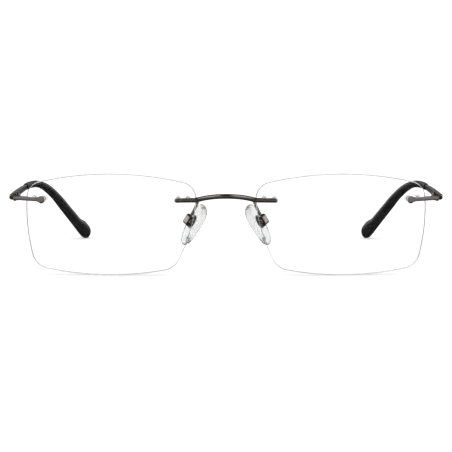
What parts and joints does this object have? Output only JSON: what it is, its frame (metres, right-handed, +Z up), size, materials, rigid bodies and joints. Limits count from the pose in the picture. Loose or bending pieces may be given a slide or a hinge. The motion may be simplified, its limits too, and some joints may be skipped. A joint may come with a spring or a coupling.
{
  "type": "rimless eyeglasses",
  "caption": "Rimless eyeglasses: clear drilled lenses, slim dark metal bridge and endpieces, hinged temples with black curved tips, and clear nose pads on wire arms.",
  "frame": {"origin": "centre of the overall box in plan, on the surface that the open glasses stand on (lower lens edges and temple ends)", "axes": "+X towards the +X side (the node names' right side), along the longest extent; the front of the lenses faces -Y and the temples run back along +Y; +Z up, the shortest extent"},
  "size_m": [0.138, 0.1278, 0.0324],
  "materials": {
    "lens": "clear polished lens with a finely ground edge",
    "clear_sleeve": "clear moulded plastic",
    "gunmetal": "warm dark gunmetal plating, softly polished",
    "screw_steel": "turned steel with a slotted head",
    "pad_core_metal": "dark plated insert inside the pad",
    "black_tip": "satin black acetate",
    "silicone": "clear soft silicone"
  },
  "bodies": {
    "front": {"bridge": "gunmetal", "lens_right": "lens", "clear_sleeve_bridge_right": "clear_sleeve", "clear_sleeve_endpiece_right": "clear_sleeve", "lens_pin_bridge_1_right": "gunmetal", "lens_pin_bridge_2_right": "gunmetal", "lens_pin_endpiece_1_right": "gunmetal", "lens_pin_endpiece_2_right": "gunmetal", "endpiece_right": "gunmetal", "hinge_leaf_front_right": "gunmetal", "hinge_screw_right": "screw_steel", "pad_arm_right": "gunmetal", "pad_box_right": "gunmetal", "pad_screw_right": "screw_steel", "lens_left": "lens", "clear_sleeve_bridge_left": "clear_sleeve", "clear_sleeve_endpiece_left": "clear_sleeve", "lens_pin_bridge_1_left": "gunmetal", "lens_pin_bridge_2_left": "gunmetal", "lens_pin_endpiece_1_left": "gunmetal", "lens_pin_endpiece_2_left": "gunmetal", "endpiece_left": "gunmetal", "hinge_leaf_front_left": "gunmetal", "hinge_screw_left": "screw_steel", "pad_arm_left": "gunmetal", "pad_box_left": "gunmetal", "pad_screw_left": "screw_steel"},
    "temple_right": {"temple_arm_right": "gunmetal", "temple_tip_right": "black_tip", "hinge_leaf_temple_right": "gunmetal"},
    "temple_left": {"temple_arm_left": "gunmetal", "temple_tip_left": "black_tip", "hinge_leaf_temple_left": "gunmetal"},
    "pad_right": {"pad_core_right": "pad_core_metal", "nose_pad_right": "silicone"},
    "pad_left": {"pad_core_left": "pad_core_metal", "nose_pad_left": "silicone"}
  },
  "joints": [
    {"name": "temple_right_hinge", "type": "hinge", "parent": "front", "child": "temple_right", "pos_m": [0.06615, -0.05255, 0.0246], "axis": [0, -0.0785, 0.9969], "range_deg": [0, 78]},
    {"name": "temple_left_hinge", "type": "hinge", "parent": "front", "child": "temple_left", "pos_m": [-0.06615, -0.05255, 0.0246], "axis": [0, 0.0785, -0.9969], "range_deg": [0, 82]},
    {"name": "pad_right_rock", "type": "hinge", "parent": "front", "child": "pad_right", "pos_m": [0.0117, -0.05411, 0.01705], "axis": [0.3796, 0.8788, 0.289], "range_deg": [-8, 8]},
    {"name": "pad_left_rock", "type": "hinge", "parent": "front", "child": "pad_left", "pos_m": [-0.0117, -0.05411, 0.01705], "axis": [-0.3796, 0.8788, 0.289], "range_deg": [-8, 8]}
  ]
}
